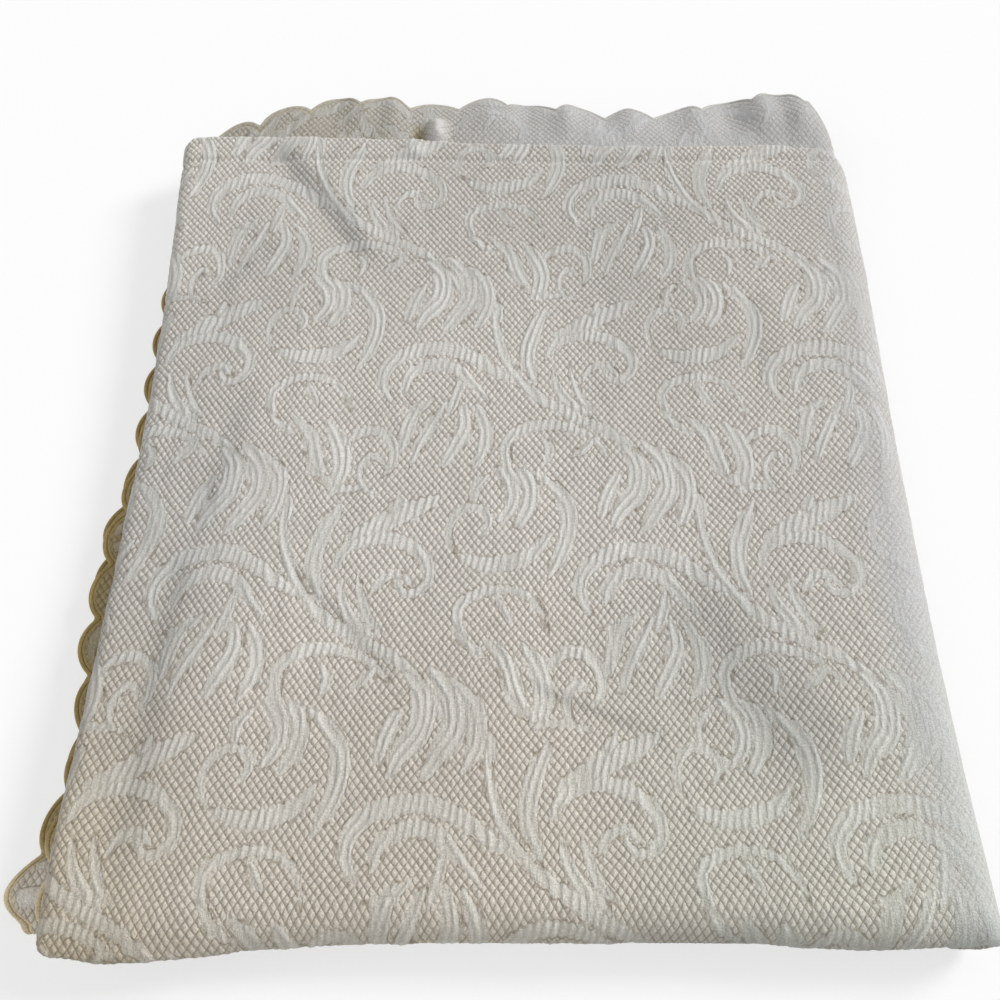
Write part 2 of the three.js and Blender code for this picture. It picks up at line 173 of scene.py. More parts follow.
def way_at(leg):
    """The pack at places on its way: its middle, its outer side's direction, and its edges."""
    leg = np.asarray(leg, float)
    way = Named(leg=leg)
    way.x, way.z, way.out_x, way.out_z = (np.zeros_like(leg) for _ in range(4))
    number = np.clip(np.floor(leg), 0, LAST_LEG - 1)
    for index, row in enumerate(LEGS):
        here = number == index
        at = row.start + (leg[here] - index) * (row.end - row.start)
        if row.kind == "run":
            way.x[here], way.z[here], way.out_z[here] = at, row.height, row.up
        else:
            way.x[here] = row.centre + row.radius * np.cos(at)
            way.z[here] = row.height + row.radius * np.sin(at)
            way.out_x[here] = row.out * np.cos(at)
            way.out_z[here] = row.out * np.sin(at)
    front, back, way.upper, way.lower, roll, way.sag = (smooth_lookup(EDGES, column, leg)
                                                        for column in range(1, 7))
    way.angle = np.maximum(roll * ROLL_ANGLE, 0.001)
    way.radius = ROLL / way.angle
    reach = (way.radius + PACK / 2) * np.sin(way.angle) + PACK / 2 * np.cos(way.angle)
    way.bend_at = front + reach
    way.start = way.bend_at - ROLL  # the cloth's "down" where the wrap begins
    way.back_at = back - way.start - LAYER_PITCH / 2 - CLOTH / 2
    return way


def way_length(row):
    return abs(row.end - row.start) * row.radius


def legs_at(counts):
    """Places on the way, with so many steps to each run and turn."""
    return np.concatenate([index + np.arange(count) / count for index, count in enumerate(counts)])


def across_at(leg):
    """The distance along the pack's way, which is "across" in the flat cloth."""
    leg = np.asarray(leg, float)
    return sum(way_length(row) * np.clip(leg - index, 0, 1) for index, row in enumerate(LEGS))


def settle(x, y, z):
    """Places of the plain folded stack, moved to where the resting stack has them."""
    lift = z / STACK
    outward = x / HALF_WIDTH
    swell = SWELL.height * (np.sin(x / SWELL.length_x + SWELL.start_x)
                            * np.sin(y / SWELL.length_y + SWELL.start_y))
    ripple = RIPPLE.height * np.sin(x / RIPPLE.length_x + y / RIPPLE.length_y + RIPPLE.start)
    hollow = HOLLOW.depth * bell(x - HOLLOW.x, HOLLOW.radius_x) * bell(y - HOLLOW.y, HOLLOW.radius_y)
    flare = FLARE.width * outward * np.maximum(0, 1 - y / FLARE.length) ** 2
    waist = WAIST.width * outward * bell(y - WAIST.y, WAIST.length)
    wander = WANDER.width * np.sin((y - WANDER.y) / WANDER.length)
    droop = sum(drop * bell(np.hypot(x - corner_x, y - corner_y), width)
                for corner_x, corner_y, drop, width in DROOPS)
    shoulder = SHOULDER.down * fade(SHOULDER.start, SHOULDER.end, x) * bell(y - SHOULDER.y, SHOULDER.length)
    fullness = FULLNESS.width * fade(FULLNESS.start, HALF_WIDTH, x) * (FULLNESS.front - y / FULLNESS.length)
    settled_x = x + fullness + lift * (flare - waist + wander)
    return settled_x, y, z + lift * (swell + ripple - hollow - droop - shoulder)


def bent(way, spot, offset):
    """A place in the pack's section as (y, out), after the bend at the front and the sag behind."""
    along, height, face_along, face_height, sag_share = spot
    along, height = along + offset * face_along, height + offset * face_height
    past_bend = np.maximum(along - ROLL, 0)
    angle = way.angle * np.maximum(1 - along / ROLL, 0)
    swing = way.radius + height
    over = np.where(sag_share > 0, np.maximum(along - way.back_at, 0), 0)
    sag = np.maximum(way.sag * sag_share, 0.001)
    hang = sag * over / FLAP_RADIUS
    hung = FLAP_RADIUS / sag + height
    y = way.bend_at + past_bend - over - swing * np.sin(angle) + hung * np.sin(hang)
    out = height - swing * (1 - np.cos(angle)) - hung * (1 - np.cos(hang))
    return y, out


def points_on(way, spot, offset=CLOTH / 2, shift_x=0, lift=0):
    """Places of the settled cloth in the part's frame: (x, y, z) in millimetres."""
    y, out = bent(way, spot, offset)
    out = out + lift
    x = way.x + way.out_x * out + shift_x
    z = way.z + way.out_z * out
    x, y, z = settle(x, y, z)
    return np.stack(np.broadcast_arrays(x + STACK_X, y + STACK_Y, z), axis=-1)


def spot_at(along, height, face_along, face_height, sag_share=0.0):
    """Places in the pack's section, their face's direction, and their share of the way's sag."""
    return np.stack(np.broadcast_arrays(along, height, face_along, face_height, sag_share))


def on_outer_layer(way, down):
    """The pack's outer layer, from under its front wrap to inside its back fold, by places down it."""
    along = down - way.start
    over = along - way.back_at
    wrap, fold = WRAP_RADIUS + CLOTH / 2, FOLD_RADIUS + CLOTH / 2
    front, back = np.clip(-along / wrap, 0, math.pi), np.clip(over / fold, 0, math.pi)
    under, inside = np.maximum(-along - math.pi * wrap, 0), np.maximum(over - math.pi * fold, 0)
    place = (np.clip(along, 0, way.back_at) - WRAP_RADIUS * np.sin(front) + under
             + FOLD_RADIUS * np.sin(back) - inside)
    height = WRAP_RADIUS * np.cos(front) + FOLD_RADIUS * (np.cos(back) - 1)
    return spot_at(place, height, np.sin(back) - np.sin(front), np.cos(front) * np.cos(back))


# ---- The woven design: quilted diamonds, and scrolls and leaves in a half-drop repeat ----
REPEAT_ACROSS = 320
REPEAT_DOWN = 380
DIAMOND_ACROSS = 5.65
DIAMOND_DOWN = 7.9
LATTICE_WANDER = (0.8, 1.1)  # how far the diamonds are out of true
CROWN_POWER = 0.5  # full diamonds with narrow grooves
RIB_PITCH = 5.3
RIB_LEAN = 0.55  # how much steeper a rib is on its left
RIB_SLANT = 0.2  # how far the ribs lean over, for each step down
RIB_SHIFT = 1.7  # from one stroke's ribs to the next one's
RIB_WANDER = 1.9  # how far they are out of step, in radians
RIB_OVERSHOOT = 2.6  # how far the ribs reach past a motif's edge
RIB_ENDS = (-5, 1)  # how far inside a motif the ribs begin, and are whole
RIB_LEVEL = 0.66  # their mean height; the rest is uneven
STEEPNESS = (0.45, 0.8)  # of a stroke, where its ribs turn to run along it
TIP = 0.004  # the share of a stroke cut off at its tips
PARTING = 1.8  # over this width a stroke sinks beside the one over it
SPINE_STEP = 1.2
FIELD_STEP = 0.5
FIELD_REACH = 12  # how far from its spine a stroke is drawn
OUTSIDE = -20.0  # the motif value of cloth that has none

DIAMOND_RELIEF = 0.95
PUFF_RELIEF = 0.55
RIB_RELIEF = 1.0
RIB_ON_GROUND = 0.45  # the share of it outside a motif
OUTLINE_RELIEF = 0.35
OUTLINE_WIDTH = 0.9
CRINKLE_RELIEF = 0.28  # of the fine upright wrinkles
COCKLE_RELIEF = 0.35  # of the broader unevenness
RAGGED = 1.8  # how far the diamonds bite into a motif's edge
MOTIF_EDGE = (-0.9, 1.1)  # where a motif begins, and where it is whole

# One leaf, stem or curl a row: its width, where along it is widest (0 to 1), and its spine's x and y.
STROKES = [
    (11.0, 0.45, [-180, 335, -178, 295, -166, 258, -145, 232, -117, 212, -86, 195, -61, 171,
                  -47, 145, -42, 119]),
    (14.8, 0.45, [-137, 321, -146, 300, -152, 278, -151, 260, -144, 242]),
    (12.7, 0.35, [-136, 269, -129, 284, -109, 293, -86, 289, -68, 274, -66, 256, -78, 246, -89, 254,
                  -84, 267]),
    (18.5, 0.5, [-130, 293, -112, 300, -94, 311, -76, 319, -59, 329]),
    (10.6, 0.6, [-130, 259, -129, 244, -120, 226, -102, 211]),
    (8.5, 0.6, [-117, 262, -115, 246, -108, 227, -97, 214]),
    (8.5, 0.5, [-107, 245, -101, 257, -89, 262, -76, 252]),
    (15.1, 0.45, [56, 227, 48, 245, 53, 264, 72, 277, 99, 280, 125, 269, 148, 252, 177, 242]),
    (13.4, 0.4, [66, 236, 72, 254, 91, 264, 111, 257, 124, 242, 137, 226]),
    (9.5, 0.5, [112, 247, 109, 232, 103, 212]),
    (12.9, 0.5, [82, 227, 73, 209, 67, 180]),
    (10.6, 0.5, [101, 227, 91, 205, 81, 185, 75, 166]),
    (14.6, 0.5, [114, 224, 117, 203, 110, 184, 100, 164]),
    (12.9, 0.5, [125, 224, 134, 202, 133, 180, 124, 162]),
    (8.5, 0.5, [91, 230, 79, 220, 63, 216]),
    (7.9, 0.35, [-26, 295, -21, 306, -28, 318, -42, 317, -51, 303, -50, 288, -42, 274]),
    (15.3, 0.45, [-42, 276, -24, 270, -5, 271, 14, 279, 27, 295]),
    (14.8, 0.55, [11, 350, 29, 336, 40, 316, 40, 295, 34, 276, 25, 257]),
    (15.9, 0.5, [2, 353, 10, 337, 9, 319, 0, 300]),
    (12.7, 0.5, [-18, 355, -6, 341, -3, 324, -11, 309, -19, 313]),
    (8.5, 0.5, [-33, 320, -32, 337, -21, 348]),
    (9.5, 0.35, [-33, 203, -41, 219, -41, 236, -27, 246, -7, 249, 11, 242, 21, 227, 24, 212]),
    (7.9, 0.5, [-14, 243, -9, 233, -3, 222]),
    (8.5, 0.5, [-45, 222, -34, 205, -18, 193]),
    (14.6, 0.5, [-21, 209, -7, 192, 0, 171, 9, 147]),
    (17.0, 0.5, [6, 205, 17, 185, 21, 164, 15, 140]),
    (10.6, 0.5, [21, 180, 29, 193, 45, 199, 58, 189, 61, 170, 54, 155]),
    (7.9, 0.4, [54, 169, 45, 176, 36, 164, 39, 147, 54, 139]),
    (11.7, 0.4, [162, 149, 152, 166, 151, 187, 168, 201, 193, 202, 216, 193, 234, 175]),
    (8.5, 0.5, [205, 173, 216, 182, 222, 194]),
    (8.5, 0.5, [181, 191, 186, 180, 183, 166]),
    (19.3, 0.5, [100, 377, 115, 357, 118, 333, 108, 314, 96, 295]),
    (15.8, 0.5, [118, 367, 132, 347, 134, 324, 125, 300]),
    (19.3, 0.5, [82, 378, 95, 357, 94, 332, 81, 314, 74, 298]),
    (13.8, 0.5, [80, 347, 71, 328, 65, 307]),
    (9.5, 0.5, [151, 365, 161, 350, 180, 337, 203, 336]),
    (9.5, 0.5, [136, 334, 143, 320, 142, 303]),
    (12.7, 0.5, [-91, 328, -98, 311, -113, 301]),
]


def spine_of(width, belly, places):
    """Points along a stroke: (x, y, half width, how far its ribs have followed it across)."""
    places = np.array(places, float).reshape(-1, 2)
    ends = np.vstack([2 * places[0] - places[1], places, 2 * places[-1] - places[-2]])
    points = []
    for before, start, end, after in zip(ends[:-3], ends[1:-2], ends[2:-1], ends[3:]):
        count = max(int(np.linalg.norm(end - start) / SPINE_STEP), 2)
        part = (np.arange(count) / count)[:, None]
        points.append(0.5 * (2 * start + (end - before) * part
                             + (2 * before - 5 * start + 4 * end - after) * part ** 2
                             + (3 * start - before - 3 * end + after) * part ** 3))
    points = np.vstack(points + [places[-1:]])
    steps = np.gradient(points, axis=0)
    lengths = np.hypot(steps[:, 0], steps[:, 1])
    part = np.clip(np.cumsum(lengths) / lengths.sum(), TIP, 1 - TIP)
    steep = fade(*STEEPNESS, np.abs(steps[:, 1]) / lengths)
    follow = np.cumsum((steps[:, 0] - RIB_SLANT * steps[:, 1]) * steep)
    fullness = np.sin(math.pi * part ** (math.log(0.5) / math.log(belly))) ** 0.5
    return points[:, 0], points[:, 1], width / 2 * fullness, follow


def design_field():
    """One repeat as maps: how far inside a motif, how far from any outline, and the ribs' wave."""
    columns, rows = round(REPEAT_ACROSS / FIELD_STEP), round(REPEAT_DOWN / FIELD_STEP)
    inside = np.full((rows, columns), OUTSIDE)
    second = inside.copy()
    phase = np.zeros_like(inside)
    reach = int(FIELD_REACH / FIELD_STEP)
    window = np.arange(-reach, reach + 1)
    for number, row in enumerate(STROKES):
        best = np.full_like(inside, OUTSIDE)
        best_phase = np.zeros_like(inside)
        for x, y, half, follow in zip(*spine_of(*row)):
            for drop in (0, 1):
                at_x, at_y = x + drop * REPEAT_ACROSS / 2, y + drop * REPEAT_DOWN / 2
                near_x, near_y = round(at_x / FIELD_STEP), round(at_y / FIELD_STEP)
                aside = (window + near_x)[None, :] * FIELD_STEP - at_x
                above = (window + near_y)[:, None] * FIELD_STEP - at_y
                depth = half - np.hypot(aside, above)
                cells = np.ix_((window + near_y) % rows, (window + near_x) % columns)
                better = depth > best[cells]
                best[cells] = np.where(better, depth, best[cells])
                slanted = aside + x - RIB_SLANT * (above + y)
                here = slanted - follow + RIB_SHIFT * number
                best_phase[cells] = np.where(better, here, best_phase[cells])
        better = best > inside
        second = np.where(better, inside, np.maximum(second, best))
        phase = np.where(better, best_phase, phase)
        inside = np.where(better, best, inside)
    turned = 2 * math.pi * phase / RIB_PITCH
    return {"motif": inside, "depth": inside - np.maximum(second, 0),
            "sine": np.sin(turned), "cosine": np.cos(turned)}


DESIGN = design_field()


def uneven(across, down, seed):
    """A smooth unevenness, from about -1 to 1: two waves, each bent by a slower one."""
    upright = across / 13.1 + 1.9 * np.sin(down / 37.3 + seed) + 2.1 * seed
    slanted = across / 21.7 - down / 29.9 + 1.3 * np.sin(across / 9.7 + seed)
    return 0.5 * (np.sin(upright) + np.sin(slanted))


def design_at(across, down):
    """The design at places of the flat cloth: inside a motif, from an outline, and the ribs, 0 to 1."""
    across, down = np.broadcast_arrays(across, down)
    place_x, place_y = across / FIELD_STEP, down / FIELD_STEP
    low_x, low_y = np.floor(place_x).astype(int), np.floor(place_y).astype(int)
    rows, columns = DESIGN["motif"].shape
    corners = [((low_y + down_one) % rows, (low_x + right_one) % columns,
                np.abs(1 - down_one - (place_y - low_y)) * np.abs(1 - right_one - (place_x - low_x)))
               for down_one in (0, 1) for right_one in (0, 1)]
    found = {name: sum(share * values[row, column] for row, column, share in corners)
             for name, values in DESIGN.items()}
    sine, cosine = found.pop("sine"), found.pop("cosine")
    shift = RIB_WANDER * uneven(across, down, 0.7)
    shifted = sine * np.cos(shift) + cosine * np.sin(shift)
    cosine = cosine * np.cos(shift) - sine * np.sin(shift)
    lean = RIB_LEAN * shifted
    wave = 0.5 + 0.5 * (shifted * np.cos(lean) + cosine * np.sin(lean))
    parting = np.where(found["motif"] > 0, fade(0, PARTING, found["depth"]), 1)
    level = RIB_LEVEL + (1 - RIB_LEVEL) * uneven(1.7 * across, down, 2.9)
    found["rib"] = wave * level * parting * fade(*RIB_ENDS, found["motif"])
    found["motif"] = found["motif"] + RIB_OVERSHOOT * (wave - 0.5)
    return found


def wandered(across, down):
    """A place of the flat cloth, as the diamonds' lattice has it."""
    return (across + LATTICE_WANDER[0] * uneven(across, down, 3.3),
            down + LATTICE_WANDER[1] * uneven(0.9 * down, 1.3 * across, 1.7))


def diamonds_at(across, down):
    """The crown of the quilted diamonds, from 0 in their grooves to 1."""
    across, down = wandered(across, down)
    rising = across / DIAMOND_ACROSS + down / DIAMOND_DOWN
    falling = across / DIAMOND_ACROSS - down / DIAMOND_DOWN
    return np.abs(np.sin(math.pi * rising) * np.sin(math.pi * falling)) ** CROWN_POWER


def design_relief(across, down, design):
    """How far the design stands out of the cloth, with the marks of washing."""
    crown = diamonds_at(across, down)
    on_motif = fade(*MOTIF_EDGE, design["motif"] + RAGGED * (0.5 - crown))
    woven = (DIAMOND_RELIEF * crown * (1 - on_motif) + PUFF_RELIEF * on_motif
             + RIB_RELIEF * design["rib"] * (RIB_ON_GROUND + (1 - RIB_ON_GROUND) * on_motif)
             - OUTLINE_RELIEF * bell(design["motif"], OUTLINE_WIDTH))
    crinkle = np.sin(across / 3.4 + 2.6 * np.sin(down / 43 + across / 31) + 1.4 * np.sin(down / 17))
    crinkle = crinkle * (0.6 + 0.4 * uneven(across, down, 4.4))
    cockle = (np.sin(across / 7.9 + 1.7 * np.sin(down / 23 + 1)) * np.sin(down / 12.7 + across / 41)
              + uneven(across / 1.3, down / 1.9, 6.1))
    return woven + CRINKLE_RELIEF * crinkle + COCKLE_RELIEF * cockle


# Creases of the top: a trough from one place (x, y) to another, its depth, and its width on its right,
# where it is steep, and on its left. A negative depth is a ridge.
CREASES = [
    (-139, 566, -222, 696, 4.5, 12, 24),
    (-92, 688, -92, 708, -2.4, 8, 12),
    (-268, 535, -218, 592, 1.8, 12, 20),
    (-252, 300, -232, 430, 2.2, 12, 22),
    (-268, 40, -262, 290, 2.4, 14, 22),
    (-93, 183, -167, 263, 1.5, 6, 14),
    (96, 134, 8, 170, 1.8, 6, 18),
    (198, 436, 202, 524, 1.6, 8, 22),
    (186, 90, 96, 236, 3.8, 42, 70),
    (-172, 250, -166, 600, -2.2, 24, 30),
    (-40, 330, 60, 420, -0.8, 30, 50),
    (-200, 392, -186, 360, -0.9, 24, 30),
]
CREASE_END = (-0.15, 0.2)  # a crease fades in between these shares of its length
BACK_CREASE = Named(y=684, depth=1.9, width=3.0)
BANK = 0.8  # where a trough's dark bank lies, and how wide it is, in steep widths
DARK_DEPTH = 6  # the depth of a trough whose bank is wholly dark


def crease_relief(x, y):
    """How far the creases raise the top, and how dark the banks are that turn away from the light."""
    relief, dark = np.zeros_like(x), np.zeros_like(x)
    for start_x, start_y, end_x, end_y, depth, steep, gentle in CREASES:
        length = math.hypot(end_x - start_x, end_y - start_y)
        along_x, along_y = (end_x - start_x) / length, (end_y - start_y) / length
        part = ((x - start_x) * along_x + (y - start_y) * along_y) / length
        aside = (x - start_x) * along_y - (y - start_y) * along_x
        ends = fade(*CREASE_END, part) * fade(*CREASE_END, 1 - part)
        relief -= depth * bell(aside, np.where(aside < 0, gentle, steep)) * ends
        dark += max(depth, 0) / DARK_DEPTH * bell(aside - BANK * steep, BANK * steep) * ends
    return relief - BACK_CREASE.depth * bell(y - BACK_CREASE.y, BACK_CREASE.width), dark


# ---- Meshes ----
def placed(name, data):
    made = bpy.data.objects.new(name, data)
    bpy.context.scene.collection.objects.link(made)
    return made


FLAT_SIZES = {}  # of each piece: its width, length and area in the flat sheet, in metres
# A point's fields for the material, where its piece doesn't say otherwise: how far it is inside a motif,
# from an outline and inside the hem's edge, the ribs, the tones with their painted shade and painted light,
# and 1 where the mesh has relief.
PLAIN = dict(motif=OUTSIDE, depth=0.0, rib=0.0, hem=99.0, warm=0.0, cool=0.0, shade=0.0, lit=0.0,
             olive=0.0, fine=1.0)


def face_normals(points):
    """Unit normals of a grid of points."""
    by_row, by_column = np.gradient(points, axis=(0, 1))
    normals = np.cross(by_column, by_row)
    return normals / np.maximum(np.linalg.norm(normals, axis=-1, keepdims=True), 1e-9)


def cloth_object(name, points, across, down, material, flip=False, keep=slice(None), normals=None,
                 **fields):
    """One mesh of the cloth: a grid of points, their places in the flat cloth and their fields. Of the
    grid's cells, keep marks those that are made."""
    shape = points.shape[:2]
    points = points.reshape(-1, 3) * MM
    points[:, 2] = np.maximum(points[:, 2], 0)  # what lies on the floor is pressed flat
    index = np.arange(len(points)).reshape(shape)
    cells = [index[:-1, :-1], index[:-1, 1:], index[1:, 1:], index[1:, :-1]]
    quads = np.stack(cells[::-1] if flip else cells, axis=-1)[keep].reshape(-1, 4)
    used, quads = np.unique(quads, return_inverse=True)
    quads = quads.reshape(-1, 4)
    mesh = bpy.data.meshes.new(name)
    mesh.from_pydata(points[used].tolist(), [], quads.tolist())
    flat = np.stack([np.broadcast_to(place, shape).ravel() for place in (across, down)], axis=-1)[used]
    lattice = np.stack(wandered(flat[:, 0], flat[:, 1]), axis=-1)
    layer = mesh.uv_layers.new(name="cloth")
    layer.data.foreach_set("uv", (lattice[quads.ravel()] * MM).astype(np.float32).ravel())
    for field, values in {**PLAIN, **fields}.items():
        attribute = mesh.attributes.new(field, "FLOAT", "POINT")
        values = np.broadcast_to(values, shape).ravel()[used]
        attribute.data.foreach_set("value", values.astype(np.float32))
    mesh.polygons.foreach_set("use_smooth", np.ones(len(mesh.polygons), bool))
    if normals is not None:
        mesh.normals_split_custom_set_from_vertices(normals.reshape(-1, 3)[used].tolist())
    mesh.materials.append(material)
    corners = flat[quads] * MM
    first, second = corners[:, 2] - corners[:, 0], corners[:, 3] - corners[:, 1]
    areas = np.abs(first[:, 0] * second[:, 1] - first[:, 1] * second[:, 0]) / 2
    FLAT_SIZES[name] = np.ptp(flat * MM, axis=0).tolist() + [float(areas.sum())]
    return placed(name, mesh)


# ---- The top of the stack: the top run's outer layer with its wrap, in two halves ----
WRAP_OUTER = 1.5 * RUN_PITCH + PACK / 2
FOLD_OUTER = 0.5 * RUN_PITCH + PACK / 2
LEFT_COVER = 20  # of the left fold, as far as it shows
FRONT_COVER = 28  # down the front and under
BACK_COVER = 16  # past the back fold's start

# The creases lie on the top alone, and end in these stretches.
CREASED_DOWN = (0, 20)
CREASED_ACROSS = (RIGHT_TURN + 30, RIGHT_TURN - 5)
# Where the cloth turns down at the right, its relief is made flatter, less so at the back, and its colour
# is painted paler and plainer, with painted shade.
EDGE_FADE_IN = (RIGHT_TURN - 36, RIGHT_TURN + 12)
EDGE_FADE_OUT = (RIGHT_TURN + 46, RIGHT_TURN + 24)
EDGE_FADE_BACK = (250, 420)
EDGE_FADE = Named(back=0.45, relief=0.8, shade=0.5, cool=0.55)
PRESSED = 0.14  # how much flatter the relief is at the front
PRESSED_DOWN = (230, -10)

# The tones of the top's cotton: the field, its strength, and the stretches of x and of down over which it
# comes in.
ALL = (-900, -800)
NEAR = (330, -10)
UNDER = (26, -4)
# The shade rows are painted shade. The tan rows also stand for painted shade at the front, under it and to
# the left. Olive is a tint.
TONES = [
    ("warm", 0.05, ALL, ALL),
    ("warm", 0.24, ALL, NEAR),
    ("warm", -0.2, (-30, 190), NEAR),
    ("warm", 0.1, ALL, UNDER),
    ("warm", 0.25, (-190, -300), NEAR),
    ("olive", 0.45, (-30, 190), NEAR),
    ("shade", 0.22, (20, 90), ALL),
    ("shade", -0.154, (130, 190), (160, 50)),
    ("shade", 0.36, (-270, -200), (400, 560)),
    ("shade", -0.36, (110, 200), (400, 560)),
    ("shade", 0.15, ALL, UNDER),
    ("shade", 0.25, (-60, 40), UNDER),
    ("shade", 0.45, (60, 180), UNDER),
]
# Shaded bands at the top's sides: their strength, their stretch of x, and their middle and half
# length down the cloth.
SIDE_BANDS = [(0.6, (-170, -262), 320, 250), (0.15, (110, 180), 330, 130)]


def leg_of_top(x):
    """The place on the way, from x on the top, its left fold and its right wrap."""
    run = 2 + (RIGHT_TURN - x) / (RIGHT_TURN - LEFT_TURN)
    wrapped = 2 - (x - RIGHT_TURN) / (math.pi * WRAP_OUTER)
    folded = 3 + (LEFT_TURN - x) / (math.pi * FOLD_OUTER)
    leg = np.where(x > RIGHT_TURN, wrapped, np.where(x < LEFT_TURN, folded, run))
    return np.clip(leg, 1, 4)


def steps_between(low, high, step):
    """Whole steps between two places, and the two places themselves."""
    whole = np.arange(math.ceil(low / step + 0.2), math.floor(high / step - 0.2) + 1) * step
    return np.concatenate([[low], whole, [high]])


def top_tones(x, down, dark, faded):
    tones = dict(warm=0, olive=0, cool=EDGE_FADE.cool * faded, shade=dark + EDGE_FADE.shade * faded)
    for field, strength, over_x, over_down in TONES:
        tones[field] = tones[field] + strength * fade(*over_x, x) * fade(*over_down, down)
    for strength, over_x, middle, radius in SIDE_BANDS:
        tones["shade"] = tones["shade"] + strength * fade(*over_x, x) * bell(down - middle, radius)
    return tones


def outer_cloth(start, end, leg_at, fineness):
    """The outer layer of a run: its places in the flat cloth, its points and their design."""
    across = steps_between(start, end, DIAMOND_ACROSS / fineness)
    down = steps_between(-FRONT_COVER, FOLDED_DEPTH + BACK_COVER, DIAMOND_DOWN / fineness)[:, None]
    way = way_at(leg_at(across)[None, :])
    return across, down, points_on(way, on_outer_layer(way, down)), design_at(across, down)


def top_panels(material):
    across, down, points, design = outer_cloth(
        LEFT_TURN - LEFT_COVER, RIGHT_TURN + math.pi * WRAP_OUTER, leg_of_top, 4)
    faded = (fade(*EDGE_FADE_IN, across) * fade(*EDGE_FADE_OUT, across)
            * (1 - EDGE_FADE.back * fade(*EDGE_FADE_BACK, down)))
    relief = (design_relief(across, down, design) * (1 - EDGE_FADE.relief * faded)
              * (1 - PRESSED * fade(*PRESSED_DOWN, down)))
    creased, dark = crease_relief(*np.broadcast_arrays(across, down))
    relief = relief + creased * fade(*CREASED_DOWN, down) * fade(*CREASED_ACROSS, across)
    points = points + face_normals(points) * relief[..., None]
    fields = {**design, **top_tones(across, down, dark, faded), "normals": face_normals(points)}
    middle = points.shape[1] // 2
    halves = {"top_panel_left": slice(0, middle + 1), "top_panel_right": slice(middle, None)}
    return [cloth_object(name, points[:, half], across[half], down, material,
                         **{field: values[:, half] for field, values in fields.items()})
            for name, half in halves.items()]


# ---- The layers inside, the bottom, and the four hems ----
TOTAL_ACROSS = float(across_at(LAST_LEG))
HIDDEN = 34  # a back hem's strip starts this far inside the stack
HIDDEN_INSIDE = 30  # and a side hem's this far
BEND_ROWS = 8  # of the points down a layer, in its bend at the front
LAYER_ROWS = 22  # and in the rest of an inner layer
SIDE_HEM_ROWS = 225  # and of a side hem's
TURN_STEPS = 8  # round each wrap or fold of the pack
LEG_COLUMNS = [30, 14, 36, 12, 30, 10, 36]  # of the inner layers, in each run and turn
OVERLAP = 3  # how far the inner layers reach under the top's left edge
SIDE_STRIP = 11  # the columns of a side hem before its band
SIDE_SCALLOP_SHIFT = 17  # brings a whole scallop to the front, where the last one shows
LAST_SCALLOP = (85, 45)  # the stretch of y over which the last scallop, painted paler as painted light, begins

# The turned hem: a plain band, and its section as distance inside the edge and height from the
# cloth's middle, sunk along the row of stitches.
BAND = 5.0
BAND_EASE = (7.5, 5)  # the design's relief ends over this distance inside the edge
BAND_MOTIF = (4, -12)  # a motif's greatest value beside the band, and how it changes within it
HEM_FACE = [(3.9, 0.75), (3.5, 0.40), (3.1, 0.75), (2.5, 1.15), (1.6, 1.30), (0.8, 1.10), (0.3, 0.70)]
HEM_PROFILE = ([(5.0, 1.10), (4.4, 1.05)] + HEM_FACE + [(0, 0)]
               + [(inside, -up) for inside, up in reversed(HEM_FACE)] + [(4.6, -0.95), (4.9, 0.30)])
PROFILE_IN, PROFILE_UP = np.array(HEM_PROFILE).T

# A back hem's columns are this far apart, on the flap behind the top and elsewhere, and closer
# together at the cloth's corners, which are rounded.
FLAP_STEP = 2.2
HEM_STEP = 4
HEM_ROWS = 33  # of points from inside the stack to a back hem's band
CORNER_STEPS = np.array([0, 0.6, 1.5, 3, 5, 8, 12, 16, 20])
CORNER_RADIUS = 20
CORNER_EASE = 30  # how far from the cloth's side edge the corner is moved to the side hem's place
FLAP_FULLNESS = 0.4  # how much deeper the scallops hang on the flap
LOWER_SAG = 1.2  # how much more the lower hem sags than the upper one
FLAP_LEGS = (1.6, 3.1)

# Where the flap behind the top is lifted or pressed down at its hem: x, width and lift.
RUFFLES = [
    (-238, 18, 6), (-205, 16, 3), (-168, 14, -3), (-146, 16, 5), (-112, 12, 6), (-20, 22, 6),
    (14, 12, -3), (51, 12, 6), (88, 16, -4), (112, 10, 3), (146, 14, -3), (176, 12, 4),
    (205, 13, -3), (236, 16, 12), (270, 18, 14),
]
RUFFLED = (4, 50)  # the distance behind the stack over which the ruffles rise
# A small puff of the flap, close behind the top's back fold, and the hollow to its left.
PUFF = Named(x=-70, width=8.5, lift=13, over=(46, 20))
HOLE = Named(x=-88, width=8, drop=5, over=(46, 16))
CURL_START = (-4, 10)


def straight(layer, along, sag_share=0.0):
    """A straight stretch of one of the pack's layers, numbered 1 to 4 from the inner side."""
    face = 1 if layer in (2, 4) else -1
    return spot_at(along, (layer - 2.5) * LAYER_PITCH, 0, face, sag_share)


def scallop_level(place, total, inside):
    """How far a line that lies inside the scalloped edge reaches beyond the notches."""
    pitch = total / round(total / SCALLOP_PITCH)
    radius = ((pitch / 2) ** 2 + SCALLOP_DEPTH ** 2) / (2 * SCALLOP_DEPTH)
    aside = place % pitch - pitch / 2
    return np.sqrt(np.maximum((radius - inside) ** 2 - aside ** 2, 0)) - (radius - SCALLOP_DEPTH)


def side_reach(is_bottom, y, layer):
    """How far a side hem stands out beyond the stack's left, the hidden layers less so."""
    shown = smooth_lookup(SIDE_HEMS, 1 if is_bottom else 2, y)
    return shown - HIDDEN_STEP * (layer if is_bottom else np.abs(layer - 1))


def rows_along(end, count):
    """Places from the front wrap to the end of a layer, closer together in the bend at the front."""
    bend = ROLL * np.linspace(0, 1, BEND_ROWS + 1)[:-1, None]
    rest = ROLL + (end - ROLL) * np.linspace(0, 1, count)[:, None]
    return np.concatenate([bend + np.zeros_like(end), rest])


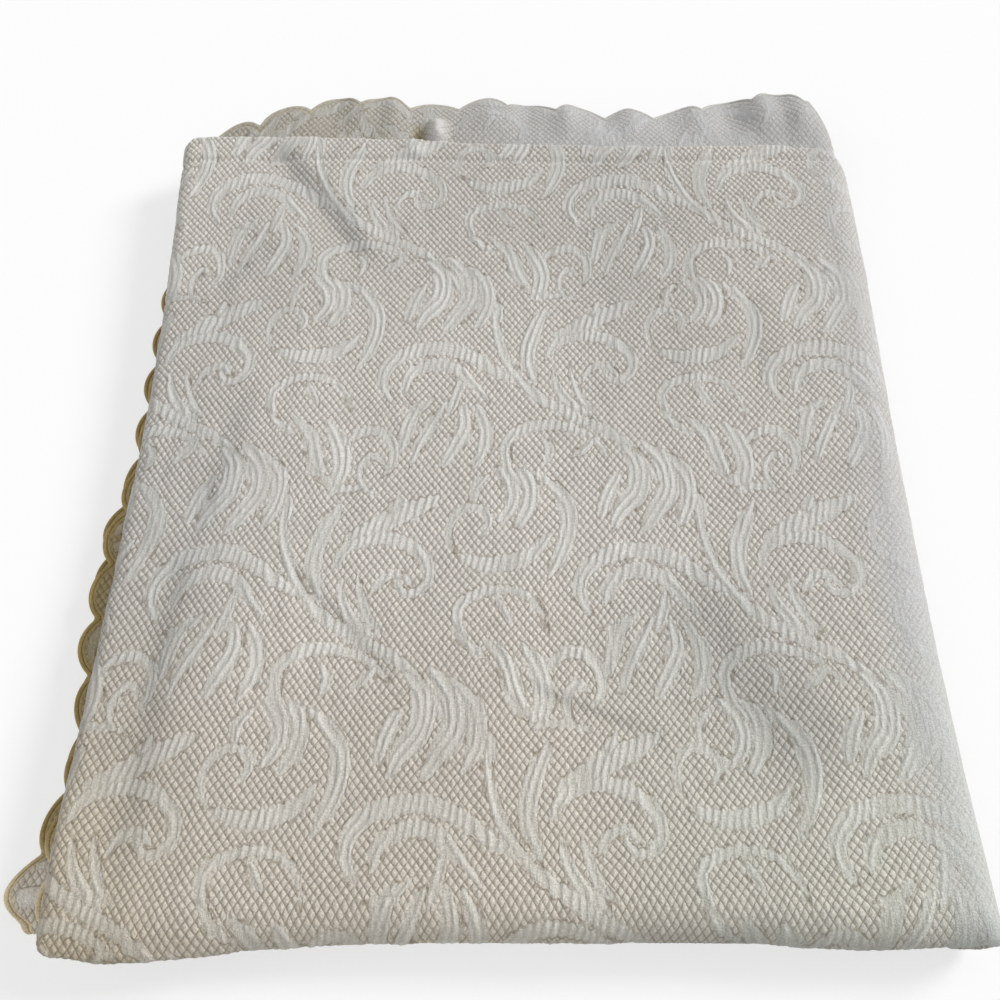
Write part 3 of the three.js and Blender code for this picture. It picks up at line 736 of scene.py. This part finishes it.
def whole_section(way, count):
    """The pack's section from hem strip to hem strip: its spots, and which layer each is in.

    The layers count from the one with the lower hem, 0 to 3, and in between in a turn.
    """
    angle = np.linspace(0, math.pi, TURN_STEPS + 1)[1:-1, None]
    sine, cosine = np.sin(angle), np.cos(angle)
    front, back = np.zeros_like(way.back_at), way.back_at
    inner_rows, outer_rows = rows_along(back - HIDDEN, count), rows_along(back, count)
    parts = [
        straight(1, inner_rows[::-1]),
        spot_at(front - WRAP_RADIUS * sine, -WRAP_RADIUS * cosine, -sine, -cosine),
        straight(4, outer_rows),
        spot_at(back + FOLD_RADIUS * sine, LAYER_PITCH + FOLD_RADIUS * cosine, sine, cosine),
        straight(3, outer_rows[::-1]),
        spot_at(front - FOLD_RADIUS * sine, FOLD_RADIUS * cosine, sine, -cosine),
        straight(2, inner_rows),
    ]
    layers = [np.full(part.shape[1], index / 2) if index % 2 == 0
              else (index - 1) / 2 + angle[:, 0] / math.pi for index, part in enumerate(parts)]
    return np.concatenate(parts, axis=1), np.concatenate(layers)[:, None]


def inner_layers(material):
    """Every layer that the finer pieces leave: one continuous surface, open where they take over."""
    first = HIDDEN_INSIDE / way_length(LEGS[0])
    last = LAST_LEG - HIDDEN_INSIDE / way_length(LEGS[-1])
    legs = legs_at(LEG_COLUMNS)
    legs = np.unique(np.concatenate([legs[(legs > first) & (legs < last)], [first, last]]))
    way = way_at(legs[None, :])
    spot, layer = whole_section(way, LAYER_ROWS)
    points = points_on(way, spot)
    shows = (layer[1:] > 0) & (layer[:-1] < 2)
    in_top = (legs[1:] + legs[:-1]) / 2 < leg_of_top(LEFT_TURN - LEFT_COVER + OVERLAP)
    step = np.linalg.norm(np.diff(points[:, :1], axis=0, prepend=points[:1, :1]), axis=-1)
    return cloth_object("inner_layers", points, across_at(legs), np.cumsum(step, axis=0), material,
                        flip=True, keep=~(shows & in_top), fine=0.0)


def bottom_panel(material):
    """The outer layer of the bottom run, which the stack lies on. Its relief is pressed flat."""
    length = way_length(LEGS[0])
    across, down, points, design = outer_cloth(HIDDEN_INSIDE, length, lambda place: place / length, 2)
    pressed = design_relief(across, down, design) - PUFF_RELIEF - RIB_RELIEF
    points = points - face_normals(points) * pressed[..., None]
    return cloth_object("bottom_panel", points, across, down, material, flip=True, **design)


def curl(shape, x, over):
    """How much of the puff or its hollow is at a place, from 0 to 1."""
    return bell(x - shape.x, shape.width) * fade(*shape.over, over)


def flap_lift(x, over):
    """How far the flap is lifted at a place, over being its distance behind the back fold."""
    lift = sum(rise * bell(x - middle, width) for middle, width, rise in RUFFLES)
    curled = PUFF.lift * curl(PUFF, x, over) - HOLE.drop * curl(HOLE, x, over)
    return lift * fade(*RUFFLED, over) + curled * fade(*CURL_START, over)


def hem_strip(start, notches, fuller, place, total, count, axis):
    """A hem's strip along an axis, from inside the stack: its reach, how far the cloth's face is from
    its middle, and how far inside the scalloped edge it is."""
    profile_in, profile_up, share = (np.expand_dims(part, 1 - axis) for part in (
        PROFILE_IN, PROFILE_UP, np.linspace(0, 1, count + 1)[:-1]))
    band_start = notches + fuller * scallop_level(place, total, BAND)
    inner = start + (band_start - start) * share
    band = notches + fuller * scallop_level(place, total, profile_in)
    offset = np.concatenate([np.full_like(inner, CLOTH / 2), np.broadcast_to(profile_up, band.shape)], axis)
    inside = np.concatenate([band_start - inner + BAND, np.broadcast_to(profile_in, band.shape)], axis)
    return np.concatenate([inner, band], axis), offset, inside


def hem_design(across, down, inside):
    """The design of a hem's strip, which its plain band ends, and the relief it gives."""
    in_band = fade(*BAND_EASE, inside)
    design = design_at(across, down)
    design["motif"] = np.minimum(design["motif"], BAND_MOTIF[0] + BAND_MOTIF[1] * in_band)
    return design, design_relief(across, down, design) * (1 - in_band)


def back_hem(name, layer, material):
    """One of the pack's two hems, behind the stack, from side to side of the cloth."""
    is_upper = layer == 2
    counts = [round(way_length(row) / HEM_STEP) for row in LEGS]
    counts[2] = round(way_length(LEGS[2]) / FLAP_STEP)
    corners = [CORNER_STEPS / way_length(LEGS[0]), LAST_LEG - CORNER_STEPS / way_length(LEGS[-1])]
    legs = np.unique(np.concatenate([legs_at(counts), *corners, [LAST_LEG]]))
    way = way_at(legs[None, :])
    across = across_at(legs)[None, :]
    side = np.minimum(across, TOTAL_ACROSS - across)
    rounding = CORNER_RADIUS - np.sqrt(CORNER_RADIUS ** 2 - np.maximum(CORNER_RADIUS - side, 0) ** 2)
    notches = way.back_at + (way.upper if is_upper else way.lower) - rounding
    fuller = 1 + FLAP_FULLNESS * ((way.leg > 2) & (way.leg < 3))
    along, offset, inside = hem_strip(way.back_at - HIDDEN, notches, fuller, across, TOTAL_ACROSS,
                                      HEM_ROWS, 0)
    down = 2 * FOLDED_DEPTH + along if is_upper else -along
    design, relief = hem_design(np.broadcast_to(across, along.shape), down, inside)
    over = along - way.back_at
    on_flap = (way.leg > FLAP_LEGS[0]) & (way.leg < FLAP_LEGS[1])
    spot = straight(layer, along, 1.0 if is_upper else LOWER_SAG)
    # The side edges of the cloth show only at the corners of the bottom run and the second run.
    section_layer = 3 if is_upper else 0
    reach = np.where(way.leg < 3, side_reach(True, FOLDED_DEPTH, section_layer),
                     side_reach(False, FOLDED_DEPTH, section_layer))
    shift = -reach * fade(CORNER_EASE, 0, side)
    points = points_on(way, spot, offset + relief, shift, flap_lift(way.x, over) * on_flap)
    # Painted shade behind the top, paler and plainer towards its right and tan towards its left. The hollow
    # is tan with painted shade, the puff is painted paler as painted light, and a hem's rim and the cloth's
    # sides are tan.
    behind_top = fade(1.5, 1.9, way.leg)
    hollow, puff = curl(HOLE, way.x, over) * on_flap, curl(PUFF, way.x, over) * on_flap
    rim = (1 - behind_top) * (0.5 * fade(26, 4, inside) + 0.4 * fade(60, 15, side))
    warm = np.maximum(0.35 * behind_top * fade(20, -180, way.x), hollow) + rim
    cool = np.maximum(0.35 * behind_top * fade(-160, 120, way.x), 0.6 * puff)
    shade = np.maximum(behind_top * (1 - puff), 0.5 * hollow)
    return cloth_object(name, points, across, down, material, flip=is_upper, hem=inside, cool=cool,
                        warm=warm, shade=shade, **design)


def side_hem(name, is_bottom, material):
    """One side edge of the cloth: it runs through all four layers of the pack, at the stack's left."""
    end_way = way_at(np.full((1, 1), 0.0 if is_bottom else float(LAST_LEG)))
    spot, layer = whole_section(end_way, SIDE_HEM_ROWS)
    y, _ = bent(end_way, spot, 0)
    row_step = np.hypot(*(np.diff(part, axis=0, prepend=part[:1]) for part in spot[:2]))
    down = np.cumsum(row_step, axis=0) + HIDDEN
    total = float(down[-1, 0]) + HIDDEN
    reach = side_reach(is_bottom, y, layer)
    beyond, offset, inside = hem_strip(-HIDDEN_INSIDE, reach, 1, down - SIDE_SCALLOP_SHIFT, total,
                                       SIDE_STRIP, 1)
    leg = -beyond / way_length(LEGS[0])
    way = way_at(np.clip(leg if is_bottom else LAST_LEG - leg, 0, LAST_LEG))
    across = -beyond if is_bottom else TOTAL_ACROSS + beyond
    design, relief = hem_design(across, np.broadcast_to(down, beyond.shape), inside)
    points = points_on(way, spot, offset + relief, -HALF_WIDTH - beyond - way.x)
    # The side hems are a tan that also stands for painted shade beside the stack. The last scallop is less
    # tan and painted paler, as painted light.
    last = fade(*LAST_SCALLOP, y)
    warm = fade(40 - 20 * last, 8 - 6 * last, inside) * (1 - 0.75 * last) + 0.2 * last
    return cloth_object(name, points, across, down, material, flip=not is_bottom, hem=inside, warm=warm,
                        lit=last, **design)


# ---- The cotton ----
def linear(red, green, blue):
    """An sRGB colour, 0 to 255, as the linear values that a shader takes."""
    return tuple(((c / 255 + 0.055) / 1.055) ** 2.4 for c in (red, green, blue)) + (1.0,)


CROWN = linear(222, 217, 211)
# Painted shade in the diamonds' grooves.
GROOVE_SHADE = linear(184, 177, 165)
MOTIF = linear(223, 221, 217)
# Painted shade in the valleys between a motif's ribs.
MOTIF_VALLEY_SHADE = linear(205, 202, 196)
# Painted shade in the grooves round the motifs and where one stroke sinks beside another, broken into
# dashes.
OUTLINE_SHADE = linear(158, 148, 134)
HEM_BAND = linear(222, 211, 188)
STITCH_LINE = linear(170, 155, 128)
# A tan that also stands for painted shade: on the side hems beside the stack, at the front and under it, to
# the left of the top and in the flap's hollow. At a hem's rim it is the rim's own tan.
TAN_AND_SHADE = linear(204, 186, 133)
# A paler, plainer colour, which also weakens the outlines and the fine relief: painted light on the flap's
# puff, and paler cloth where the top turns down at the right and on the flap's right.
PAINTED_PALE = linear(220, 220, 221)
SHADE = linear(222, 224, 226)
OLIVE = linear(240, 247, 236)
LIT = 0.4  # how much paler the last scallop is painted: painted light
PATCHES = (0.9, 0.975)  # the cloth's brightness from patch to patch
THREADS = (0.85, 1.15)  # and from thread to thread

# The finest relief, which the bump gives, in millimetres or as a share of the mesh's.
FINE_DIAMONDS = 1.3  # of the diamonds, where the mesh has them too
FINE_RIBS = 0.85  # and of the ribs
STREAKS = 1.0  # of a motif's short upright wrinkles, and on the ground
GROUND_STREAKS = 0.1
STREAKS_ACROSS, STREAKS_DOWN = 0.36, 0.07  # to the millimetre
WEAVE = 0.65

# Features to the metre of each kind of unevenness.
WORN_SCALE, BROKEN_SCALE, PATCH_SCALE, THREAD_SCALE, WEAVE_SCALE = 210.0, 120.0, 9.0, 750.0, 1100.0

SEAM = 3.5  # the row of stitches lies this far inside the hem's edge
SEAM_EDGES = (0.65, 0.2)
STITCH_PITCH = 2.8
BAND_EDGES = (5.6, 4.8)


class Tree:
    """The nodes of a material or of the world, and short ways to add to them."""

    def __init__(self, owner):
        owner.use_nodes = True
        self.nodes, self.links = owner.node_tree.nodes, owner.node_tree.links

    def fill(self, node, given):
        """Sets or links a node's sockets, given by name or number."""
        for name, value in given.items():
            if isinstance(value, bpy.types.NodeSocket):
                self.links.new(value, node.inputs[name])
            else:
                node.inputs[name].default_value = value
        return node

    def add(self, kind, *values, **named):
        return self.fill(self.nodes.new("ShaderNode" + kind), {**dict(enumerate(values)), **named})

    def maths(self, operation, *values):
        made = self.add("Math", *values)
        made.operation = operation
        return made.outputs[0]

    def times(self, product, *factors):
        for factor in factors:
            product = self.maths("MULTIPLY", product, factor)
        return product

    def sloped(self, value, slope, start=1.0):
        return self.maths("MULTIPLY_ADD", value, slope, start)

    def ramp(self, value, low, high, start=0.0, end=1.0):
        made = self.add("MapRange", value, low, high, start, end)
        made.interpolation_type = "SMOOTHSTEP"
        return made.outputs[0]

    def blended(self, amount, first, second, kind="MIX"):
        made = self.nodes.new("ShaderNodeMix")
        made.data_type, made.blend_type = "RGBA", kind
        colours = [index for index, socket in enumerate(made.inputs) if socket.type == "RGBA"]
        self.fill(made, {"Factor": amount, colours[0]: first, colours[1]: second})
        return next(socket for socket in made.outputs if socket.type == "RGBA")

    def attribute(self, name):
        made = self.add("Attribute")
        made.attribute_name = name
        return made.outputs["Fac"]

    def noise(self, place, scale, detail):
        return self.add("TexNoise", Vector=place, Scale=scale, Detail=detail).outputs[0]

    def shown(self, lighting, seen, share, output):
        """Shows a share of one shader to the camera. All light comes from the other one."""
        ray = self.add("LightPath").outputs
        direct = self.maths("MAXIMUM", ray["Is Camera Ray"], ray["Is Glossy Ray"])
        direct = self.maths("MAXIMUM", direct, ray["Is Transmission Ray"])
        mixed = self.add("MixShader", self.times(direct, share), lighting.outputs[0], seen.outputs[0])
        self.fill(self.nodes[output], {"Surface": mixed.outputs[0]})


def cotton():
    """The cotton, coloured, with painted shade and painted light among its colours, and finely raised by
    the fields and the lattice of the cloth's meshes.
    """
    material = bpy.data.materials.new("ivory_cotton")
    tree = Tree(material)
    maths, times, sloped, ramp = tree.maths, tree.times, tree.sloped, tree.ramp
    blended, noise = tree.blended, tree.noise

    flat = tree.add("UVMap")
    flat.uv_map = "cloth"
    parts = tree.add("SeparateXYZ", flat.outputs[0]).outputs
    across, down = times(parts[0], 1 / MM), times(parts[1], 1 / MM)
    place = tree.add("TexCoord").outputs["Object"]
    motif, depth, rib, hem, fine = map(tree.attribute, ("motif", "depth", "rib", "hem", "fine"))
    warm, cool, shade, lit, olive = map(tree.attribute, ("warm", "cool", "shade", "lit", "olive"))

    # The diamonds with painted shade in their grooves, the motifs with their ragged edges and painted shade
    # between their ribs, and the broken lines of painted shade round and within these.
    by_across, by_down = times(across, math.pi / DIAMOND_ACROSS), times(down, math.pi / DIAMOND_DOWN)
    waves = times(maths("SINE", maths("ADD", by_across, by_down)),
                  maths("SINE", maths("SUBTRACT", by_across, by_down)))
    crown = maths("POWER", maths("ABSOLUTE", waves), CROWN_POWER)
    faded = noise(place, WORN_SCALE, 2.0)
    raised = ramp(maths("ADD", crown, times(maths("SUBTRACT", faded, 0.5), 0.6)), 0.04, 0.62)
    ground = blended(raised, GROOVE_SHADE, CROWN)
    on_motif = ramp(sloped(crown, -RAGGED, maths("ADD", motif, RAGGED * 0.5)), *MOTIF_EDGE)
    colour = blended(on_motif, ground, blended(ramp(rib, 0.0, 0.7), MOTIF_VALLEY_SHADE, MOTIF))
    outline = ramp(maths("ABSOLUTE", motif), OUTLINE_WIDTH, 0.1)
    parting = times(on_motif, ramp(depth, 0.7, 0.1))
    broken = times(ramp(noise(place, BROKEN_SCALE, 0.0), 0.4, 0.62, 0.0, 0.8), ramp(cool, 0.55, 0.1))
    colour = blended(times(maths("MAXIMUM", outline, parting), broken), colour, OUTLINE_SHADE)

    # The hem's band and its stitches, less plain in the shade.
    band = ramp(hem, *BAND_EDGES)
    colour = blended(times(band, sloped(shade, -0.8)), colour, HEM_BAND)
    seam = ramp(maths("ABSOLUTE", maths("SUBTRACT", hem, SEAM)), *SEAM_EDGES)
    by_stitch = times(maths("ADD", across, down), 2 * math.pi / STITCH_PITCH)
    stitch = ramp(maths("SINE", by_stitch), -0.6, 0.2, 0.55, 1.0)
    colour = blended(times(seam, stitch, sloped(shade, -0.7)), colour, STITCH_LINE)

    # The painted tones, tan with painted shade, a paler plainer colour, painted shade and olive, and the
    # cotton's own unevenness.
    colour = blended(times(warm, sloped(on_motif, -0.25, 0.95)), colour, TAN_AND_SHADE, "MULTIPLY")
    colour = blended(cool, colour, PAINTED_PALE)
    colour = blended(shade, colour, SHADE, "MULTIPLY")
    colour = blended(olive, colour, OLIVE, "MULTIPLY")
    patches = ramp(noise(place, PATCH_SCALE, 1.0), 0.3, 0.7, *PATCHES)
    threads = ramp(noise(place, THREAD_SCALE, 1.0), 0.25, 0.75, *THREADS)
    # The last scallop is painted paler: painted light.
    bright = times(patches, threads, sloped(lit, LIT))
    grey = tree.add("CombineColor", bright, bright, bright).outputs[0]
    colour = blended(1.0, colour, grey, "MULTIPLY")

    # The finest relief.
    streaks = tree.add("CombineXYZ", times(across, STREAKS_ACROSS), times(down, STREAKS_DOWN)).outputs[0]
    streaked = times(noise(streaks, 1.0, 1.0), sloped(on_motif, STREAKS, GROUND_STREAKS))
    weave = sloped(noise(place, WEAVE_SCALE, 1.0), WEAVE, streaked)
    on_ground = maths("SUBTRACT", 1.0, on_motif)
    puffs = times(crown, DIAMOND_RELIEF, on_ground, sloped(fine, FINE_DIAMONDS - 1), sloped(faded, 1.4, 0.3))
    rib_share = sloped(on_motif, 1 - RIB_ON_GROUND, RIB_ON_GROUND)
    ribs = times(rib, RIB_RELIEF, rib_share, sloped(fine, FINE_RIBS - 1))
    woven = times(maths("ADD", puffs, ribs), maths("SUBTRACT", 1.0, band), sloped(cool, -1.4))
    bump = tree.add("Bump", Strength=1.0, Distance=MM, Height=maths("ADD", weave, woven))
    tree.fill(tree.nodes["Principled BSDF"], {
        "Base Color": colour, "Normal": bump.outputs[0], "Roughness": 0.9, "Specular IOR Level": 0.25,
        "Sheen Weight": 0.15, "Sheen Roughness": 0.5})
    return material


# ---- The pieces ----
fabric = cotton()
pieces = top_panels(fabric) + [
    bottom_panel(fabric),
    inner_layers(fabric),
    back_hem("upper_back_hem", 2, fabric),
    back_hem("lower_back_hem", 1, fabric),
    side_hem("bottom_side_hem", True, fabric),
    side_hem("second_side_hem", False, fabric),
]


# ---- The floor, the light and the camera ----
WHITE = (1, 1, 1, 1)
FLOOR_DROP = 0.0008  # below the stack's underside
FLOOR_GLOW = 0.65  # the share of plain white in what the camera sees of the floor
# Each lamp's name, strength and spread, and its turn about x and y.
LAMPS = [("key", 2.8, 20, (-21, 54)), ("fill", 0.7, 70, (17, -41))]


def white_floor():
    """A pale floor that the camera sees nearly white, with the object's shadow on it."""
    material = bpy.data.materials.new("studio_floor")
    tree = Tree(material)
    pale = {"Base Color": linear(246, 246, 246), "Roughness": 0.9}
    shader = tree.fill(tree.nodes["Principled BSDF"], pale)
    tree.shown(shader, tree.add("Emission", WHITE), FLOOR_GLOW, "Material Output")
    bpy.ops.mesh.primitive_plane_add(size=14, location=(0, 0, -FLOOR_DROP))
    floor = bpy.context.object
    floor.name = "studio_floor"
    floor.data.materials.append(material)
    return floor


white_floor()

world = bpy.data.worlds.new("studio")
bpy.context.scene.world = world
studio = Tree(world)
lighting = studio.fill(studio.nodes["Background"], {"Color": WHITE, "Strength": 0.36})
studio.shown(lighting, studio.add("Background", WHITE), 1.0, "World Output")

for name, strength, spread, turned in LAMPS:
    lamp = placed(name, bpy.data.lights.new(name, "SUN"))
    lamp.data.energy = strength
    lamp.data.angle = math.radians(spread)
    lamp.rotation_euler = (math.radians(turned[0]), math.radians(turned[1]), 0)

camera = placed("camera", bpy.data.cameras.new("camera"))
camera.data.lens, camera.data.sensor_width = 43.2, 36
camera.location = (0.0046, -0.5094, 0.852)
camera.rotation_euler = (math.radians(29.6), 0, 0)
bpy.context.scene.camera = camera
bpy.context.scene.view_settings.view_transform = "Standard"

for piece in pieces:
    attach(piece, BODY)
    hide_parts(NODE)
    width, length, area = FLAT_SIZES[piece.name]
    min(area, width * length)
